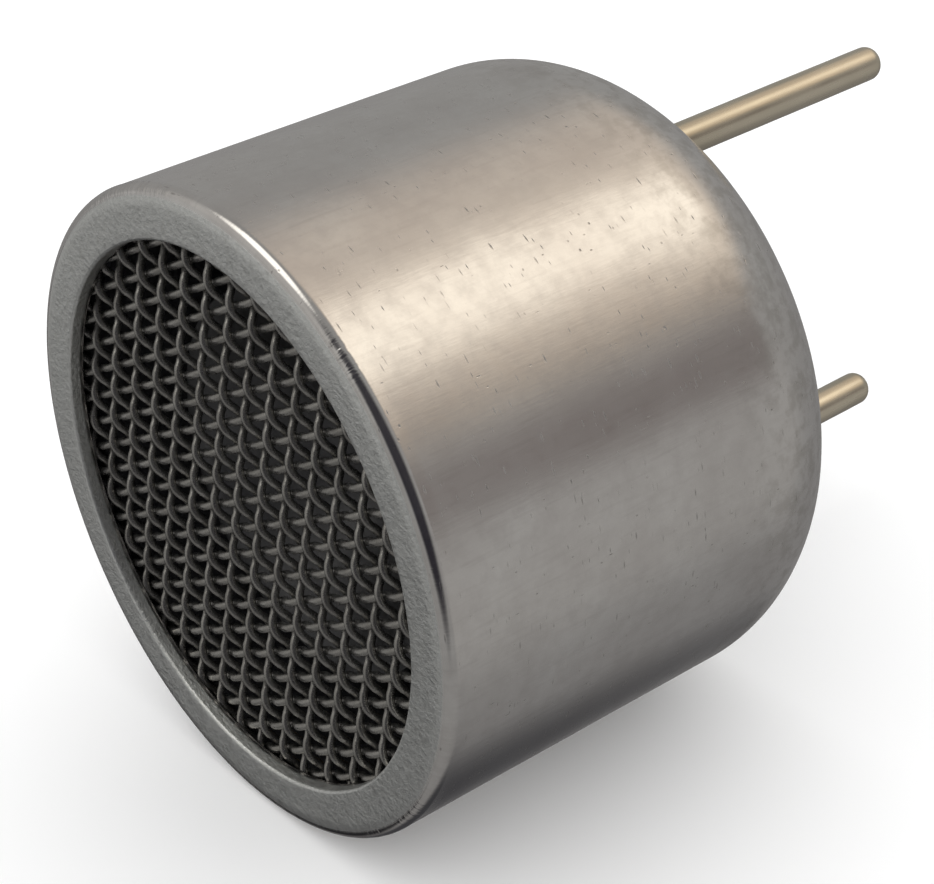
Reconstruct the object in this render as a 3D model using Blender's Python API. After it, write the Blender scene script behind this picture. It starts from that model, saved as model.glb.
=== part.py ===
"""Open-type ultrasonic distance transducer: a drawn aluminium can with a woven front screen, a
resonator cone on a piezo vibrator, and two round board pins.

The can's axis is Y. The screen faces -Y, the pins point +Y, and the origin is the centre of the
rear face, where the sensor meets its circuit board. Sizes below are in millimetres.
"""

import math

import bmesh
import bpy
from mathutils import Matrix, Vector

MM = 0.001
FIT = 0.03

# The can.
BODY_RADIUS = 8.1
BODY_LENGTH = 12.6
WALL = 0.4
OPENING_RADIUS = 6.8
OPENING_EDGE_RADIUS = 0.08
FRONT_CORNER_RADIUS = 0.25
SHOULDER_RADIUS = 3.1
SHOULDER_SWEEP = math.radians(58)

FRONT = -BODY_LENGTH
BORE_RADIUS = BODY_RADIUS - WALL
SHOULDER_CENTRE_R = BODY_RADIUS - SHOULDER_RADIUS
SHOULDER_CENTRE_Y = -SHOULDER_RADIUS * math.sin(SHOULDER_SWEEP)

# The woven screen and the sleeve that presses it against the lip.
WIRE_DIAMETER = 0.2
SCREEN_RADIUS = 7.6
SCREEN_FRONT = FRONT + WALL + FIT
SCREEN_BACK = SCREEN_FRONT + 2 * WIRE_DIAMETER
SLEEVE_RADIUS = BORE_RADIUS - FIT
SLEEVE_BORE_RADIUS = 7.0
SLEEVE_FRONT = SCREEN_BACK + FIT

# The vibrator, from its cone back to its rear electrode.
CONE_MOUTH_RADIUS = 4.6
CONE_NECK_RADIUS = 0.8
CONE_FRONT = FRONT + 2.2
CONE_BACK = FRONT + 4.95
CONE_WALL = 0.2
CONE_RIM_WIDTH = 0.35
BEAD_RADIUS = 1.5
BEAD_THICKNESS = 0.09
BEAD_CLIMB = 0.1
BEAD_BROW = 0.04
BEAD_INNER_GAP = 0.08
BEAD_INNER_REACH = 0.32
BEAD_OUTER_REACH = 0.18
PLATE_RADIUS = 5.2
PLATE_FRONT = CONE_BACK + FIT + BEAD_THICKNESS + FIT
PLATE_THICKNESS = 0.25
PLATE_EDGE_RADIUS = 0.05
PLATE_BACK = PLATE_FRONT + PLATE_THICKNESS
ELECTRODE_THICKNESS = 0.03
PIEZO_RADIUS = 3.1
PIEZO_THICKNESS = 0.3
FRONT_ELECTRODE_RADIUS = 3.0
REAR_ELECTRODE_RADIUS = 2.9
FRONT_ELECTRODE_FRONT = PLATE_BACK + FIT
PIEZO_FRONT = FRONT_ELECTRODE_FRONT + ELECTRODE_THICKNESS + FIT
REAR_ELECTRODE_FRONT = PIEZO_FRONT + PIEZO_THICKNESS + FIT
REAR_ELECTRODE_BACK = REAR_ELECTRODE_FRONT + ELECTRODE_THICKNESS

# The soft ring under the plate's still circle, and the base that carries it.
RING_INNER_RADIUS = 3.42
RING_OUTER_RADIUS = 3.98
BASE_FRONT = -4.4
RIDGE_TOP = -5.7
RIDGE_INNER_RADIUS = 3.36
RIDGE_OUTER_RADIUS = 4.04
BASE_BOSS_RADIUS = 6.1
BASE_SHOULDER_SWEEP = math.radians(56)
BASE_EDGE_RADIUS = 0.12
LEAD_SLOT_WIDTH = 1.2
LEAD_SLOT_DEPTH = 0.9

# The pins, their seats and their seals.
PIN_RADIUS = 0.46
PIN_OFFSET = 5.0
PIN_TIP = 9.2
PIN_TIP_RADIUS = 0.34
PIN_HEAD_RADIUS = 0.75
PIN_HEAD_THICKNESS = 0.45
PIN_HEAD_EDGE_RADIUS = 0.12
PIN_HOLE_RADIUS = PIN_RADIUS + FIT
SEAL_POCKET_RADIUS = 0.95
SEAL_POCKET_DEPTH = 0.35
SEAL_TOP = -0.05
SEAL_DIP = 0.06
SEAL_CLIMB = 0.04
EDGE_SEAL_OUTER_RADIUS = 6.4
EDGE_SEAL_TOP = -0.1
EDGE_SEAL_CROWN = 0.05

# The spring strip that grounds the can through one pin.
STRIP_THICKNESS = 0.15
STRIP_WIDTH = 1.4
STRIP_EYE_RADIUS = 0.95
STRIP_FINGER_LENGTH = 1.3
STRIP_NOTCH_CLEARANCE = 0.25

# The two fine leads and the solder that holds their ends.
LEAD_RADIUS = 0.08
PIN_SOLDER_RADIUS = 0.58
PIN_SOLDER_HEIGHT = 0.36
VIBRATOR_SOLDER_RADIUS = 0.45
VIBRATOR_SOLDER_HEIGHT = 0.28
ELECTRODE_JOINT_OFFSET = 1.5
PLATE_JOINT_OFFSET = 4.6
LEAD_POINTS = 16
LEAD_RISE = 0.35
LEAD_SIDESTEP = 0.5
LEAD_SLOT_DIP = 0.25
LEAD_SLOT_INSET = 0.6

# How far a cutter runs past what it cuts.
CUT_OVERRUN = 0.7

ROUND_SEGMENTS = 64
INNER_SEGMENTS = 32
SMALL_SEGMENTS = 16


def clear_scene():
    for item in list(bpy.data.objects):
        bpy.data.objects.remove(item, do_unlink=True)


def material(name, colour, roughness, metallic):
    """A plain Principled material in the piece's own colour."""
    made = bpy.data.materials.new(name)
    made.use_nodes = True
    shader = made.node_tree.nodes["Principled BSDF"]
    shader.inputs["Base Color"].default_value = (*colour, 1.0)
    shader.inputs["Roughness"].default_value = roughness
    shader.inputs["Metallic"].default_value = metallic
    return made


def arc(centre_r, centre_y, radius, start, end, steps):
    """Points (r, y) on a round stretch of a turned profile."""
    points = []
    for step in range(steps + 1):
        angle = start + (end - start) * step / steps
        points.append((centre_r + radius * math.cos(angle), centre_y + radius * math.sin(angle)))
    return points


def turned(name, profile, finish, segments=INNER_SEGMENTS, centre=(0.0, 0.0)):
    """A solid turned about a line parallel to Y through centre (x, z).

    The profile is a loop of (r, y) points. Where it starts and ends on the line it is left open
    there, and otherwise it closes on itself. Angles in the r-y plane run anticlockwise.
    """
    on_axis = profile[0][0] == 0.0
    mesh = bpy.data.meshes.new(name)
    shape = bmesh.new()
    rows = []
    for r, y in profile:
        if r == 0.0:
            pole = shape.verts.new((centre[0] * MM, y * MM, centre[1] * MM))
            rows.append([pole] * segments)
            continue
        row = []
        for step in range(segments):
            turn = 2 * math.pi * step / segments
            x = centre[0] + r * math.cos(turn)
            z = centre[1] + r * math.sin(turn)
            row.append(shape.verts.new((x * MM, y * MM, z * MM)))
        rows.append(row)
    pairs = list(zip(rows, rows[1:]))
    if not on_axis:
        pairs.append((rows[-1], rows[0]))
    for near, far in pairs:
        for step in range(segments):
            after = (step + 1) % segments
            corners = [near[step], far[step], far[after], near[after]]
            face = list(dict.fromkeys(corners))
            if len(face) > 2:
                shape.faces.new(face)
    bmesh.ops.recalc_face_normals(shape, faces=shape.faces)
    return finished(name, shape, mesh, finish)


def finished(name, shape, mesh, finish):
    """Writes a bmesh to a mesh, and links it as a smooth-shaded object with its material."""
    shape.to_mesh(mesh)
    shape.free()
    mesh.materials.append(finish)
    mesh.shade_smooth()
    mesh.set_sharp_from_angle(angle=math.radians(35))
    made = bpy.data.objects.new(name, mesh)
    bpy.context.scene.collection.objects.link(made)
    return made


def block(name, low, high):
    """A box between two corners, for cutting."""
    mesh = bpy.data.meshes.new(name)
    shape = bmesh.new()
    size = Vector(high) - Vector(low)
    middle = (Vector(high) + Vector(low)) / 2
    place = Matrix.Translation(middle * MM) @ Matrix.Diagonal((*(size * MM), 1.0))
    bmesh.ops.create_cube(shape, size=1.0, matrix=place)
    shape.to_mesh(mesh)
    shape.free()
    made = bpy.data.objects.new(name, mesh)
    bpy.context.scene.collection.objects.link(made)
    return made


def cut(target, cutter, operation="DIFFERENCE"):
    """Adds an exact Boolean, and leaves its second shape as a guide that isn't a piece."""
    cutter.hide_render = True
    cutter.display_type = "WIRE"
    step = target.modifiers.new(cutter.name, "BOOLEAN")
    step.operation = operation
    step.solver = "EXACT"
    step.object = cutter


def disc_profile(radius, front, back, edge=0.0):
    """The (r, y) outline of a disc, with its two rims rounded by edge."""
    if edge == 0.0:
        return [(0.0, front), (radius, front), (radius, back), (0.0, back)]
    outline = [(0.0, front)]
    outline += arc(radius - edge, front + edge, edge, -math.pi / 2, 0.0, 3)
    outline += arc(radius - edge, back - edge, edge, 0.0, math.pi / 2, 3)
    outline.append((0.0, back))
    return outline


def tube_profile(inner, outer, front, back):
    return [(inner, front), (outer, front), (outer, back), (inner, back)]


def case():
    """The drawn can: a flat front lip, a straight barrel and a rear edge rolled over the base."""
    edge = OPENING_EDGE_RADIUS
    corner = FRONT_CORNER_RADIUS
    outline = arc(OPENING_RADIUS + edge, FRONT + edge, edge, -math.pi, -math.pi / 2, 2)
    outline += arc(BODY_RADIUS - corner, FRONT + corner, corner, -math.pi / 2, 0.0, 5)
    centre = (SHOULDER_CENTRE_R, SHOULDER_CENTRE_Y)
    outline += arc(*centre, SHOULDER_RADIUS, 0.0, SHOULDER_SWEEP, 10)
    outline += arc(*centre, SHOULDER_RADIUS - WALL, SHOULDER_SWEEP, 0.0, 10)
    outline += [(BORE_RADIUS, FRONT + WALL), (OPENING_RADIUS, FRONT + WALL)]
    finish = material("case_aluminium", (0.60, 0.58, 0.56), 0.32, 1.0)
    return turned("case", outline, finish, ROUND_SEGMENTS)


def front_screen():
    """The wire cloth, as a disc as thick as two crossed wires."""
    finish = material("screen_wire", (0.12, 0.115, 0.11), 0.5, 0.8)
    return turned("front_screen", disc_profile(SCREEN_RADIUS, SCREEN_FRONT, SCREEN_BACK), finish)


def spacer_sleeve():
    """The moulded sleeve between the screen and the base, notched for the ground strip."""
    finish = material("sleeve_plastic", (0.03, 0.03, 0.032), 0.55, 0.0)
    outline = tube_profile(SLEEVE_BORE_RADIUS, SLEEVE_RADIUS, SLEEVE_FRONT, BASE_FRONT - FIT)
    sleeve = turned("spacer_sleeve", outline, finish, ROUND_SEGMENTS)
    half = STRIP_WIDTH / 2 + STRIP_NOTCH_CLEARANCE
    front = BASE_FRONT - STRIP_THICKNESS - STRIP_FINGER_LENGTH - STRIP_NOTCH_CLEARANCE
    low = (-half, front, -BODY_RADIUS)
    high = (half, BASE_FRONT + CUT_OVERRUN, -SLEEVE_BORE_RADIUS + CUT_OVERRUN)
    cut(sleeve, block("sleeve_notch_cutter", low, high))
    return sleeve


def resonator_cone():
    """A thin drawn cone with a flat rim at its mouth and a flat bottom."""
    finish = material("cone_aluminium", (0.72, 0.72, 0.73), 0.3, 1.0)
    half_angle = math.atan2(CONE_MOUTH_RADIUS - CONE_NECK_RADIUS, CONE_BACK - CONE_FRONT)
    across = CONE_WALL / math.cos(half_angle)
    floor = CONE_BACK - CONE_WALL
    inner_neck = CONE_NECK_RADIUS + CONE_WALL * math.tan(half_angle) - across
    rim = CONE_MOUTH_RADIUS + CONE_RIM_WIDTH
    outline = [
        (0.0, floor),
        (inner_neck, floor),
        (CONE_MOUTH_RADIUS - across + CONE_WALL, CONE_FRONT),
        (rim, CONE_FRONT),
        (rim, CONE_FRONT + CONE_WALL),
        (CONE_MOUTH_RADIUS, CONE_FRONT + CONE_WALL),
        (CONE_NECK_RADIUS, CONE_BACK),
        (0.0, CONE_BACK),
    ]
    return turned("resonator_cone", outline, finish)


def cone_adhesive():
    """The adhesive under the cone's bottom, squeezed out into a low bead around its neck."""
    finish = material("epoxy_amber", (0.42, 0.33, 0.16), 0.3, 0.0)
    front = CONE_BACK + FIT
    back = front + BEAD_THICKNESS
    outline = [
        (0.0, front),
        (CONE_NECK_RADIUS + BEAD_INNER_GAP, front),
        (CONE_NECK_RADIUS + BEAD_INNER_REACH, front - BEAD_CLIMB),
        (BEAD_RADIUS - BEAD_OUTER_REACH, front - BEAD_BROW),
        (BEAD_RADIUS, back),
        (0.0, back),
    ]
    return turned("cone_adhesive", outline, finish)


def vibrating_plate():
    finish = material("plate_nickel", (0.66, 0.63, 0.56), 0.28, 1.0)
    outline = disc_profile(PLATE_RADIUS, PLATE_FRONT, PLATE_BACK, PLATE_EDGE_RADIUS)
    return turned("vibrating_plate", outline, finish)


def piezo_disc():
    finish = material("piezo_ceramic", (0.47, 0.42, 0.30), 0.7, 0.0)
    back = PIEZO_FRONT + PIEZO_THICKNESS
    return turned("piezo_disc", disc_profile(PIEZO_RADIUS, PIEZO_FRONT, back), finish)


def electrode(name, radius, front):
    """A fired silver film on one face of the piezo disc."""
    finish = material(name + "_silver", (0.80, 0.79, 0.76), 0.35, 1.0)
    return turned(name, disc_profile(radius, front, front + ELECTRODE_THICKNESS), finish)


def nodal_ring():
    """The soft ring between the plate and the base's ridge."""
    finish = material("silicone", (0.75, 0.74, 0.70), 0.6, 0.0)
    outline = tube_profile(
        RING_INNER_RADIUS, RING_OUTER_RADIUS, PLATE_BACK + FIT, RIDGE_TOP - FIT
    )
    return turned("nodal_ring", outline, finish)


def base():
    """The moulded base: a ridge in front, a shoulder that fits the rolled edge, a flat rear boss."""
    sweep = BASE_SHOULDER_SWEEP
    radius = SHOULDER_RADIUS - WALL - FIT
    ledge = SHOULDER_CENTRE_Y + radius * math.sin(sweep)
    outline = [(0.0, BASE_FRONT), (RIDGE_INNER_RADIUS, BASE_FRONT)]
    outline += [(RIDGE_INNER_RADIUS, RIDGE_TOP), (RIDGE_OUTER_RADIUS, RIDGE_TOP)]
    outline += [(RIDGE_OUTER_RADIUS, BASE_FRONT), (SLEEVE_RADIUS, BASE_FRONT)]
    outline += arc(SHOULDER_CENTRE_R, SHOULDER_CENTRE_Y, radius, 0.0, sweep, 8)
    outline.append((BASE_BOSS_RADIUS, ledge))
    edge = BASE_EDGE_RADIUS
    outline += arc(BASE_BOSS_RADIUS - edge, -edge, edge, 0.0, math.pi / 2, 3)
    outline.append((0.0, 0.0))
    finish = material("base_plastic", (0.025, 0.025, 0.027), 0.5, 0.0)
    body = turned("base", outline, finish, ROUND_SEGMENTS)
    for side in (1, -1):
        centre = (0.0, side * PIN_OFFSET)
        label = "upper" if side > 0 else "lower"
        hole = [(0.0, BASE_FRONT - CUT_OVERRUN), (PIN_HOLE_RADIUS, BASE_FRONT - CUT_OVERRUN)]
        hole += [(PIN_HOLE_RADIUS, -SEAL_POCKET_DEPTH), (SEAL_POCKET_RADIUS, -SEAL_POCKET_DEPTH)]
        hole += [(SEAL_POCKET_RADIUS, CUT_OVERRUN), (0.0, CUT_OVERRUN)]
        cut(body, turned(label + "_hole_cutter", hole, finish, SMALL_SEGMENTS, centre))
    low = (-LEAD_SLOT_WIDTH / 2, RIDGE_TOP - CUT_OVERRUN, RIDGE_INNER_RADIUS - CUT_OVERRUN)
    high = (LEAD_SLOT_WIDTH / 2, RIDGE_TOP + LEAD_SLOT_DEPTH, RIDGE_OUTER_RADIUS + CUT_OVERRUN)
    cut(body, block("lead_slot_cutter", low, high))
    return body


def head_back(side):
    """Where a pin's head sits: on the base, or on the ground strip."""
    under = FIT if side > 0 else FIT + STRIP_THICKNESS + FIT
    return BASE_FRONT - under


def pin(name, side):
    """A round pin with an upset head in front of the base and a rounded rear tip."""
    finish = material(name + "_plating", (0.66, 0.62, 0.50), 0.3, 1.0)
    back = head_back(side)
    front = back - PIN_HEAD_THICKNESS
    edge = PIN_HEAD_EDGE_RADIUS
    outline = [(0.0, front)]
    outline += arc(PIN_HEAD_RADIUS - edge, front + edge, edge, -math.pi / 2, 0.0, 3)
    outline += [(PIN_HEAD_RADIUS, back), (PIN_RADIUS, back)]
    tip = PIN_TIP_RADIUS
    outline += arc(PIN_RADIUS - tip, PIN_TIP - tip, tip, 0.0, math.pi / 2, 5)
    outline.append((0.0, PIN_TIP))
    return turned(name, outline, finish, SMALL_SEGMENTS, (0.0, side * PIN_OFFSET))


def pin_seal(name, side):
    """The sealing resin in the pocket around one pin, hollowed a little towards the pin."""
    finish = material(name + "_resin", (0.05, 0.05, 0.05), 0.2, 0.0)
    inner = PIN_RADIUS + FIT
    outer = SEAL_POCKET_RADIUS - FIT
    floor = -SEAL_POCKET_DEPTH + FIT
    outline = [(inner, floor), (outer, floor), (outer, SEAL_TOP)]
    outline += [((inner + outer) / 2, SEAL_TOP - SEAL_DIP), (inner, SEAL_TOP - SEAL_DIP + SEAL_CLIMB)]
    return turned(name, outline, finish, SMALL_SEGMENTS, (0.0, side * PIN_OFFSET))


def edge_seal():
    """The bead of sealant on the base's ledge, inside the can's rolled edge."""
    finish = material("edge_sealant", (0.07, 0.07, 0.07), 0.25, 0.0)
    radius = SHOULDER_RADIUS - WALL - FIT
    floor = SHOULDER_CENTRE_Y + radius * math.sin(BASE_SHOULDER_SWEEP) + FIT
    inner = BASE_BOSS_RADIUS + FIT
    middle = (inner + EDGE_SEAL_OUTER_RADIUS) / 2
    brow = EDGE_SEAL_TOP - EDGE_SEAL_CROWN
    outline = [(inner, floor), (EDGE_SEAL_OUTER_RADIUS, floor), (EDGE_SEAL_OUTER_RADIUS, brow)]
    outline += [(middle, EDGE_SEAL_TOP), (inner, brow)]
    return turned("edge_seal", outline, finish, ROUND_SEGMENTS)


def case_contact():
    """The spring strip: an eye under the ground pin's head, an arm, and a finger on the can."""
    finish = material("strip_bronze", (0.70, 0.52, 0.30), 0.35, 1.0)
    back = BASE_FRONT - FIT
    front = back - STRIP_THICKNESS
    eye = disc_profile(STRIP_EYE_RADIUS, front, back)
    strip = turned("case_contact", eye, finish, SMALL_SEGMENTS, (0.0, -PIN_OFFSET))
    wall = BORE_RADIUS - FIT
    half = STRIP_WIDTH / 2
    reach = math.sqrt(wall**2 - half**2)
    arm = block("strip_arm_guide", (-half, front, -reach), (half, back, -PIN_OFFSET))
    cut(strip, arm, "UNION")
    finger_front = front - STRIP_FINGER_LENGTH
    finger = block(
        "strip_finger_guide", (-half, finger_front, -reach), (half, back, -reach + STRIP_THICKNESS)
    )
    cut(strip, finger, "UNION")
    hole = disc_profile(PIN_HOLE_RADIUS, front - CUT_OVERRUN, back + CUT_OVERRUN)
    cutter = turned("strip_hole_cutter", hole, finish, SMALL_SEGMENTS, (0.0, -PIN_OFFSET))
    cut(strip, cutter)
    return strip


def dome(name, finish, centre_z, foot, radius, height):
    """A low round solder joint standing on foot: towards -Y if height is negative."""
    steps = 6
    outline = [(0.0, foot)]
    for step in range(steps):
        angle = math.pi / 2 * step / steps
        outline.append((radius * math.cos(angle), foot + height * math.sin(angle)))
    outline.append((0.0, foot + height))
    return turned(name, outline, finish, SMALL_SEGMENTS, (0.0, centre_z))


def solder_joints():
    finish = material("solder", (0.62, 0.62, 0.63), 0.25, 1.0)
    for name, side in (("signal_pin_solder", 1), ("ground_pin_solder", -1)):
        foot = head_back(side) - PIN_HEAD_THICKNESS - FIT
        dome(name, finish, side * PIN_OFFSET, foot, PIN_SOLDER_RADIUS, -PIN_SOLDER_HEIGHT)
    size = (VIBRATOR_SOLDER_RADIUS, VIBRATOR_SOLDER_HEIGHT)
    dome("electrode_solder", finish, ELECTRODE_JOINT_OFFSET, REAR_ELECTRODE_BACK + FIT, *size)
    dome("plate_solder", finish, -PLATE_JOINT_OFFSET, PLATE_BACK + FIT, *size)


def bezier(points, steps):
    """Evenly stepped points on a cubic Bezier curve."""
    made = []
    for step in range(steps):
        t = step / (steps - 1)
        weights = ((1 - t) ** 3, 3 * t * (1 - t) ** 2, 3 * t**2 * (1 - t), t**3)
        made.append(sum((w * Vector(p) for w, p in zip(weights, points)), Vector()))
    return made


def lead(name, points):
    """A fine wire along one Bezier curve, with capped ends."""
    finish = material(name + "_copper", (0.72, 0.45, 0.30), 0.3, 1.0)
    line = bpy.data.curves.new(name, "CURVE")
    line.dimensions = "3D"
    line.bevel_depth = LEAD_RADIUS * MM
    line.bevel_resolution = 1
    line.use_fill_caps = True
    spline = line.splines.new("POLY")
    route = bezier(points, LEAD_POINTS)
    spline.points.add(len(route) - 1)
    for point, place in zip(spline.points, route):
        point.co = (*(place * MM), 1.0)
    line.materials.append(finish)
    made = bpy.data.objects.new(name, line)
    bpy.context.scene.collection.objects.link(made)
    return made


def leads():
    """The signal lead dips through the ridge's slot; the ground lead runs straight to the plate."""
    clear = LEAD_RADIUS + FIT
    solder = PIN_HEAD_THICKNESS + FIT + PIN_SOLDER_HEIGHT
    slot = RIDGE_TOP + LEAD_SLOT_DEPTH - clear
    start = head_back(1) - solder - FIT
    end = REAR_ELECTRODE_BACK + FIT + VIBRATOR_SOLDER_HEIGHT + FIT
    signal = [(0, start, PIN_OFFSET), (0, start - LEAD_RISE, PIN_OFFSET - LEAD_RISE)]
    signal.append((0, slot - LEAD_SLOT_DIP, RIDGE_INNER_RADIUS - LEAD_SLOT_INSET))
    signal.append((0, end, ELECTRODE_JOINT_OFFSET))
    lead("signal_lead", signal)
    start = head_back(-1) - solder - FIT
    end = PLATE_BACK + FIT + VIBRATOR_SOLDER_HEIGHT + FIT
    side = LEAD_SIDESTEP
    ground = [(0, start, -PIN_OFFSET), (side, start - LEAD_RISE, -PIN_OFFSET)]
    ground += [(side, end + LEAD_RISE, -PLATE_JOINT_OFFSET), (0, end, -PLATE_JOINT_OFFSET)]
    lead("ground_lead", ground)


def build():
    clear_scene()
    case()
    front_screen()
    spacer_sleeve()
    resonator_cone()
    cone_adhesive()
    vibrating_plate()
    piezo_disc()
    electrode("front_electrode", FRONT_ELECTRODE_RADIUS, FRONT_ELECTRODE_FRONT)
    electrode("rear_electrode", REAR_ELECTRODE_RADIUS, REAR_ELECTRODE_FRONT)
    nodal_ring()
    base()
    pin("signal_pin", 1)
    pin("ground_pin", -1)
    pin_seal("signal_pin_seal", 1)
    pin_seal("ground_pin_seal", -1)
    edge_seal()
    case_contact()
    solder_joints()
    leads()


build()
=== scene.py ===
"""Looks of the ultrasonic distance sensor: a drawn aluminium can with a woven wire screen, its
resonator and vibrator, the moulded base and the two board pins.

Lengths in this script are millimetres, in the frame's own axes: the screen faces -Y, the pins point
+Y, and the can lies on its barrel. They become metres where a mesh is written.
"""

import math

import bmesh
import bpy
from mathutils import Matrix, Vector, noise


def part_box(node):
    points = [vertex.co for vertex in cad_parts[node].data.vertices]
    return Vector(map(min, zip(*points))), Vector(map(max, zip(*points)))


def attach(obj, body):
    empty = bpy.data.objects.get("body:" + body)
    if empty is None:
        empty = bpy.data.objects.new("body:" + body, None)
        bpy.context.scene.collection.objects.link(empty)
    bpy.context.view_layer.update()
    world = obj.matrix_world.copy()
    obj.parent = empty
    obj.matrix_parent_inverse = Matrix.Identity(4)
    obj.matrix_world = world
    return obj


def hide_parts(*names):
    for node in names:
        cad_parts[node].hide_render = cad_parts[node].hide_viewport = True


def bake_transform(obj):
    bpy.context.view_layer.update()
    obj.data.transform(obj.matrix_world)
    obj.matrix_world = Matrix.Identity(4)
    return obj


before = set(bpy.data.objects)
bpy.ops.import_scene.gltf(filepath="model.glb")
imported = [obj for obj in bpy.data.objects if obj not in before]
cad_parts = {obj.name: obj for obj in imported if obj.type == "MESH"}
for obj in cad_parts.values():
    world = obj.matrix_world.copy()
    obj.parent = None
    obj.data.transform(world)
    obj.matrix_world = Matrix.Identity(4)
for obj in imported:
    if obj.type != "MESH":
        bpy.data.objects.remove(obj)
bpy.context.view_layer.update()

MM = 0.001
TURN = 2 * math.pi


def node_box(name):
    """A CAD node's lowest and highest corner, in millimetres."""
    low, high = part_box(name)
    return low / MM, high / MM


# Sizes read from the frame.
CASE_LOW, CASE_HIGH = node_box("case")
FRONT = CASE_LOW.y
BARREL_RADIUS = CASE_HIGH.x
SCREEN_LOW, SCREEN_HIGH = node_box("front_screen")
CONE_LOW, CONE_HIGH = node_box("resonator_cone")
BEAD_HIGH = node_box("cone_adhesive")[1]
RING_LOW, RING_HIGH = node_box("nodal_ring")
BASE_LOW = node_box("base")[0]
EDGE_SEAL_LOW, EDGE_SEAL_HIGH = node_box("edge_seal")

# Sizes that the boxes don't hold.
WALL = 0.4
FIT = 0.03
OPENING_RADIUS = 6.8
FRONT_CORNER = 0.3
SHOULDER_RADIUS = 3.1
SHOULDER_SWEEP = math.radians(58)
SHOULDER_R = BARREL_RADIUS - SHOULDER_RADIUS
SHOULDER_Y = -SHOULDER_RADIUS * math.sin(SHOULDER_SWEEP)
BASE_FRONT = -4.4
BASE_SWEEP = math.radians(56)
BOSS_RADIUS = 6.1
BOSS_CORNER = 0.12
GROOVE_INNER, GROOVE_OUTER = 2.85, 3.45
GROOVE_DEPTH = 0.12
EJECTOR_OFFSET = 4.7
KEY_DOT_X, KEY_DOT_Z = 1.9, 4.3
RIDGE_INNER, RIDGE_OUTER = 3.36, 4.04
RING_INNER = 3.42
SLOT_DEPTH, SLOT_WIDTH, SLOT_LENGTH = 0.9, 1.2, 2.1
PIN_SIDES = (("signal_pin", 1), ("ground_pin", -1))
PIN_RADIUS = 0.46
PIN_OFFSET = 5.0
PIN_TIP_LENGTH = 0.38
PIN_HEAD_RADIUS = 0.75
PIN_HEAD_EDGE = 0.12
PIN_HEAD_THICKNESS = 0.45
PIN_LEAN = 0.022
POCKET_RADIUS = 0.95
POCKET_DEPTH = 0.35
PIN_RESIN_Y, EDGE_RESIN_Y = -0.1, -0.17
CONE_MOUTH, CONE_NECK, CONE_WALL = 4.6, 0.8, 0.2
BEAD_EDGE = 0.09
LEAD_RADIUS = 0.08
LEAD_RISE = 0.35
FILM_SPOT_Z, PLATE_SPOT_Z = 1.5, -4.6
SOLDER_HEIGHT = 0.36

# Where the finish of the can's front face and of its corner ends: radii, then places along Y.
FACE_EDGE, CORNER_EDGE = BARREL_RADIUS - 0.27, BARREL_RADIUS - 0.2
CORNER_FULL, CORNER_END = FRONT + 0.26, FRONT + 0.34
FACE_END = FRONT + 0.36

# Tones of the can.
CAN_DULL = (0.68, 0.655, 0.635)
CAN_BRIGHT = (0.78, 0.765, 0.745)
CAN_CLOUD = (0.60, 0.575, 0.555)
CAN_DRAWN = (0.56, 0.535, 0.515)
CAN_STAIN = (0.42, 0.40, 0.36)
CAN_MARK = (0.16, 0.14, 0.12)
CAN_SPECK = (0.06, 0.05, 0.045)
FACE_DULL = (0.67, 0.685, 0.665)
FACE_BRIGHT = (0.81, 0.825, 0.81)
FACE_PIT = (0.45, 0.455, 0.44)

# The cloth: its wires, how far each set bows at a crossing, the spacing of each set, how far the
# sets are turned from upright, and how far they are moved, in spacings.
WIRE_RADIUS = 0.1
STEEP_WAVE, SHALLOW_WAVE = 0.13, 0.08
STEEP_SPACING, SHALLOW_SPACING = 0.594, 0.633
CLOTH_TURN = math.radians(28)
STEEP_SHIFT, SHALLOW_SHIFT = -0.2, -0.41
CLOTH_MARGIN = 0.08
WAVE_POWER = 0.8
WIRE_STRAY = 0.012


def camera():
    """A long lens close by, to the front right and above, rolled a little."""
    azimuth, elevation, roll = math.radians(52.14), math.radians(29.17), math.radians(3.05)
    distance = 56.95
    aside, above = 5.54, 3.26
    back = Vector((
        math.sin(azimuth) * math.cos(elevation),
        -math.cos(azimuth) * math.cos(elevation),
        math.sin(elevation),
    ))
    level = Vector((math.cos(azimuth), math.sin(azimuth), 0.0))
    upright = back.cross(level)
    right = level * math.cos(roll) - upright * math.sin(roll)
    upward = level * math.sin(roll) + upright * math.cos(roll)
    aim = Vector((0.0, FRONT, 0.0)) + aside * right + above * upward
    data = bpy.data.cameras.new("camera")
    data.sensor_width = 36.0
    data.lens = 95.06
    data.shift_y = -0.0664
    data.clip_start = 0.001
    data.clip_end = 10.0
    made = bpy.data.objects.new("camera", data)
    made.location = (aim + distance * back) * MM
    made.rotation_mode = "QUATERNION"
    made.rotation_quaternion = Matrix((right, upward, back)).transposed().to_quaternion()
    bpy.context.scene.collection.objects.link(made)
    bpy.context.scene.camera = made


camera()


# ---------------------------------------------------------------- materials


class Nodes:
    """A node tree, with short calls for the nodes that materials and the world share."""

    def __init__(self, tree):
        self.tree = tree

    def node(self, kind, **settings):
        made = self.tree.nodes.new(kind)
        for key, value in settings.items():
            setattr(made, key, value)
        return made

    def join(self, output, socket):
        self.tree.links.new(output, socket)

    def feed(self, socket, value):
        """Links a socket to an output, or sets it to a number or a colour."""
        if isinstance(value, bpy.types.NodeSocket):
            self.join(value, socket)
        elif isinstance(value, tuple):
            socket.default_value = (*value, 1.0)
        else:
            socket.default_value = value

    def mix(self, amount, first, second):
        """Blends two colours."""
        made = self.node("ShaderNodeMix", data_type="RGBA")
        self.feed(made.inputs["Factor"], amount)
        colours = [s for s in made.inputs if s.type == "RGBA"]
        for socket, value in zip(colours, (first, second)):
            self.feed(socket, value)
        return next(s for s in made.outputs if s.type == "RGBA")


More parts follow.
